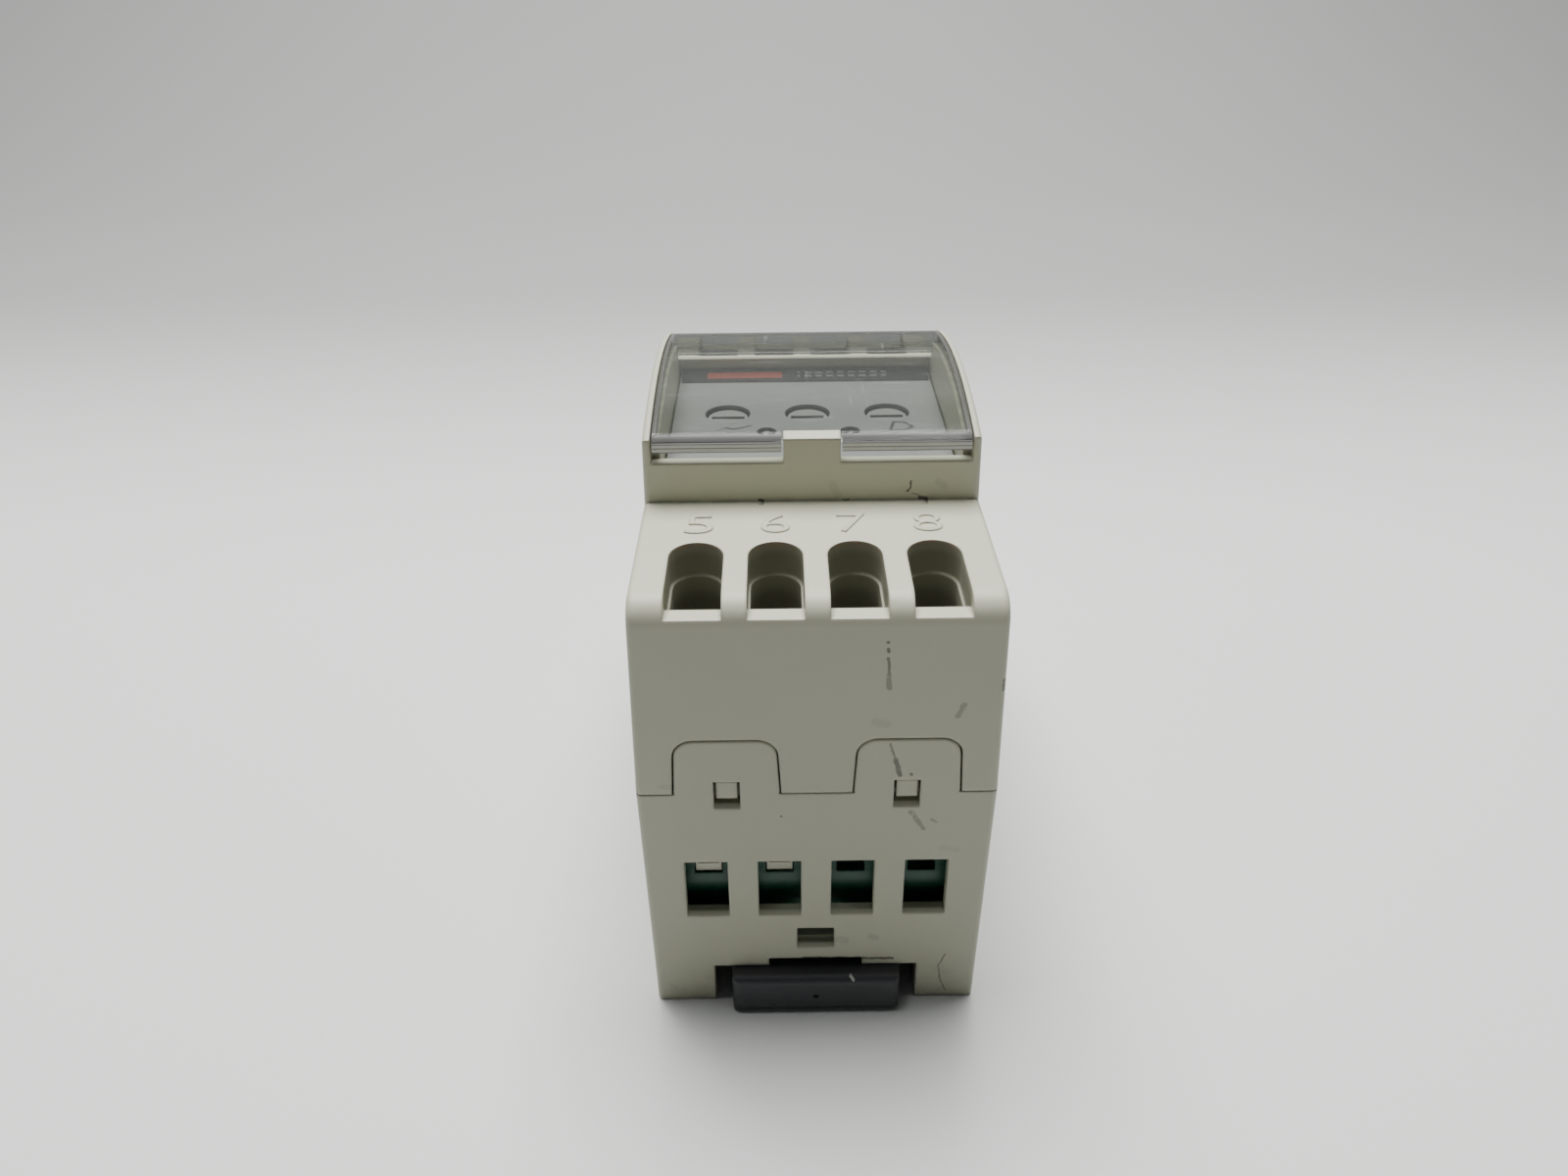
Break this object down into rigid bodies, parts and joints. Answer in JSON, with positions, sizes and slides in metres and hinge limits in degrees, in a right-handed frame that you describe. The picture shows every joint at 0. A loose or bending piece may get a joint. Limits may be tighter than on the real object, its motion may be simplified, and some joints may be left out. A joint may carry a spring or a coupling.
{
  "type": "rail-mounted control relay",
  "caption": "Slim rail-mounted control relay with a hinged clear cover over adjusters, screw terminals with rising clamps at both ends, and a spring rail clip.",
  "frame": {"origin": "middle of the housing on the plane of its back, where the rail's middle line runs", "axes": "+X across the housing and along the rail, +Y along the housing away from the clip handle, +Z out of the panel"},
  "size_m": [0.036, 0.0744, 0.0616],
  "materials": {
    "adjuster_plastic": "grey moulded",
    "board_laminate": "solder mask",
    "bobbin_plastic": "black moulded",
    "capacitor_sleeve": "dark sleeve",
    "chip_plastic": "moulded package",
    "clamp_steel": "zinc plated",
    "clear_plastic": "clear, slightly smoky",
    "clip_plastic": "dark slate moulded",
    "coil_wire": "enamelled winding under tape",
    "contact_metal": "tin plated",
    "core_steel": "laminated, varnished",
    "disc_coating": "coated ceramic",
    "header_plastic": "black moulded",
    "housing_plastic": "satin moulded, ivory grey",
    "label_film": "dark film",
    "led_lens": "tinted lens",
    "panel_plastic": "printed grey panel",
    "relay_plastic": "blue moulded",
    "resistor_coating": "coated",
    "screw_steel": "zinc plated",
    "spring_steel": "drawn wire",
    "terminal_plastic": "dark green moulded"
  },
  "bodies": {
    "housing": {"base_board": "board_laminate", "base_housing": "housing_plastic", "board_headers": "header_plastic", "capacitors": "capacitor_sleeve", "clip_spring": "spring_steel", "controller_chip": "chip_plastic", "face_label": "label_film", "face_plate": "panel_plastic", "front_board": "board_laminate", "front_housing": "housing_plastic", "relay_base": "bobbin_plastic", "relay_case": "relay_plastic", "resistors": "resistor_coating", "riser_board": "board_laminate", "status_leds": "led_lens", "suppressor_discs": "disc_coating", "terminal_block_far": "terminal_plastic", "terminal_block_near": "terminal_plastic", "terminal_contacts_far": "contact_metal", "terminal_contacts_near": "contact_metal", "transformer_bobbin": "bobbin_plastic", "transformer_coil": "coil_wire", "transformer_core": "core_steel", "trimmer_bodies": "relay_plastic"},
    "adjuster_left_body": {"adjuster_left": "adjuster_plastic"},
    "adjuster_middle_body": {"adjuster_middle": "adjuster_plastic"},
    "adjuster_right_body": {"adjuster_right": "adjuster_plastic"},
    "cover": {"clear_cover": "clear_plastic"},
    "clip": {"rail_clip": "clip_plastic"},
    "terminal_screw_1_body": {"terminal_screw_1": "screw_steel"},
    "terminal_screw_2_body": {"terminal_screw_2": "screw_steel"},
    "terminal_screw_3_body": {"terminal_screw_3": "screw_steel"},
    "terminal_screw_4_body": {"terminal_screw_4": "screw_steel"},
    "terminal_screw_5_body": {"terminal_screw_5": "screw_steel"},
    "terminal_screw_6_body": {"terminal_screw_6": "screw_steel"},
    "terminal_screw_7_body": {"terminal_screw_7": "screw_steel"},
    "terminal_screw_8_body": {"terminal_screw_8": "screw_steel"},
    "wire_clamp_1_body": {"wire_clamp_1": "clamp_steel"},
    "wire_clamp_2_body": {"wire_clamp_2": "clamp_steel"},
    "wire_clamp_3_body": {"wire_clamp_3": "clamp_steel"},
    "wire_clamp_4_body": {"wire_clamp_4": "clamp_steel"},
    "wire_clamp_5_body": {"wire_clamp_5": "clamp_steel"},
    "wire_clamp_6_body": {"wire_clamp_6": "clamp_steel"},
    "wire_clamp_7_body": {"wire_clamp_7": "clamp_steel"},
    "wire_clamp_8_body": {"wire_clamp_8": "clamp_steel"}
  },
  "joints": [
    {"name": "cover_hinge", "type": "hinge", "parent": "housing", "child": "cover", "pos_m": [0, 0.01465, 0.05783], "axis": [-1, 0, 0], "range_deg": [0, 100]},
    {"name": "clip_slide", "type": "slide", "parent": "housing", "child": "clip", "axis": [0, -1, 0], "range_m": [0, 0.0035], "stiffness_N_per_m": 800, "springref_m": -0.003, "deforming": ["clip_spring"]},
    {"name": "adjuster_left_turn", "type": "hinge", "parent": "housing", "child": "adjuster_left_body", "pos_m": [-0.0092, 0.00185, 0.053], "axis": [0, 0, 1], "range_deg": [-135, 135]},
    {"name": "adjuster_middle_turn", "type": "hinge", "parent": "housing", "child": "adjuster_middle_body", "pos_m": [0, 0.00185, 0.053], "axis": [0, 0, 1], "range_deg": [-135, 135]},
    {"name": "adjuster_right_turn", "type": "hinge", "parent": "housing", "child": "adjuster_right_body", "pos_m": [0.0092, 0.00185, 0.053], "axis": [0, 0, 1], "range_deg": [-135, 135]},
    {"name": "clamp_1_lift", "type": "slide", "parent": "housing", "child": "wire_clamp_1_body", "axis": [0, 0, 1], "range_m": [0, 0.0042]},
    {"name": "screw_1_turn", "type": "hinge", "parent": "housing", "child": "terminal_screw_1_body", "pos_m": [-0.01143, 0.0297, 0.028], "axis": [0, 0, -1], "range_deg": [0, 3360.01]},
    {"name": "clamp_2_lift", "type": "slide", "parent": "housing", "child": "wire_clamp_2_body", "axis": [0, 0, 1], "range_m": [0, 0.0042]},
    {"name": "screw_2_turn", "type": "hinge", "parent": "housing", "child": "terminal_screw_2_body", "pos_m": [-0.00381, 0.0297, 0.028], "axis": [0, 0, -1], "range_deg": [0, 3360.01]},
    {"name": "clamp_3_lift", "type": "slide", "parent": "housing", "child": "wire_clamp_3_body", "axis": [0, 0, 1], "range_m": [0, 0.0042]},
    {"name": "screw_3_turn", "type": "hinge", "parent": "housing", "child": "terminal_screw_3_body", "pos_m": [0.00381, 0.0297, 0.028], "axis": [0, 0, -1], "range_deg": [0, 3360.01]},
    {"name": "clamp_4_lift", "type": "slide", "parent": "housing", "child": "wire_clamp_4_body", "axis": [0, 0, 1], "range_m": [0, 0.0042]},
    {"name": "screw_4_turn", "type": "hinge", "parent": "housing", "child": "terminal_screw_4_body", "pos_m": [0.01143, 0.0297, 0.028], "axis": [0, 0, -1], "range_deg": [0, 3360.01]},
    {"name": "clamp_5_lift", "type": "slide", "parent": "housing", "child": "wire_clamp_5_body", "axis": [0, 0, 1], "range_m": [0, 0.0042]},
    {"name": "screw_5_turn", "type": "hinge", "parent": "housing", "child": "terminal_screw_5_body", "pos_m": [-0.01143, -0.0297, 0.028], "axis": [0, 0, -1], "range_deg": [0, 3360.01]},
    {"name": "clamp_6_lift", "type": "slide", "parent": "housing", "child": "wire_clamp_6_body", "axis": [0, 0, 1], "range_m": [0, 0.0042]},
    {"name": "screw_6_turn", "type": "hinge", "parent": "housing", "child": "terminal_screw_6_body", "pos_m": [-0.00381, -0.0297, 0.028], "axis": [0, 0, -1], "range_deg": [0, 3360.01]},
    {"name": "clamp_7_lift", "type": "slide", "parent": "housing", "child": "wire_clamp_7_body", "axis": [0, 0, 1], "range_m": [-0.0041, 0.0001]},
    {"name": "screw_7_turn", "type": "hinge", "parent": "housing", "child": "terminal_screw_7_body", "pos_m": [0.00381, -0.0297, 0.028], "axis": [0, 0, -1], "range_deg": [-3280.01, 80.01]},
    {"name": "clamp_8_lift", "type": "slide", "parent": "housing", "child": "wire_clamp_8_body", "axis": [0, 0, 1], "range_m": [-0.0041, 0.0001]},
    {"name": "screw_8_turn", "type": "hinge", "parent": "housing", "child": "terminal_screw_8_body", "pos_m": [0.01143, -0.0297, 0.028], "axis": [0, 0, -1], "range_deg": [-3280.01, 80.01]}
  ],
  "couplings": [
    {"joint": "screw_1_turn", "follows": "clamp_1_lift", "rad_per_m": 13963},
    {"joint": "screw_2_turn", "follows": "clamp_2_lift", "rad_per_m": 13963},
    {"joint": "screw_3_turn", "follows": "clamp_3_lift", "rad_per_m": 13963},
    {"joint": "screw_4_turn", "follows": "clamp_4_lift", "rad_per_m": 13963},
    {"joint": "screw_5_turn", "follows": "clamp_5_lift", "rad_per_m": 13963},
    {"joint": "screw_6_turn", "follows": "clamp_6_lift", "rad_per_m": 13963},
    {"joint": "screw_7_turn", "follows": "clamp_7_lift", "rad_per_m": 13963},
    {"joint": "screw_8_turn", "follows": "clamp_8_lift", "rad_per_m": 13963}
  ]
}
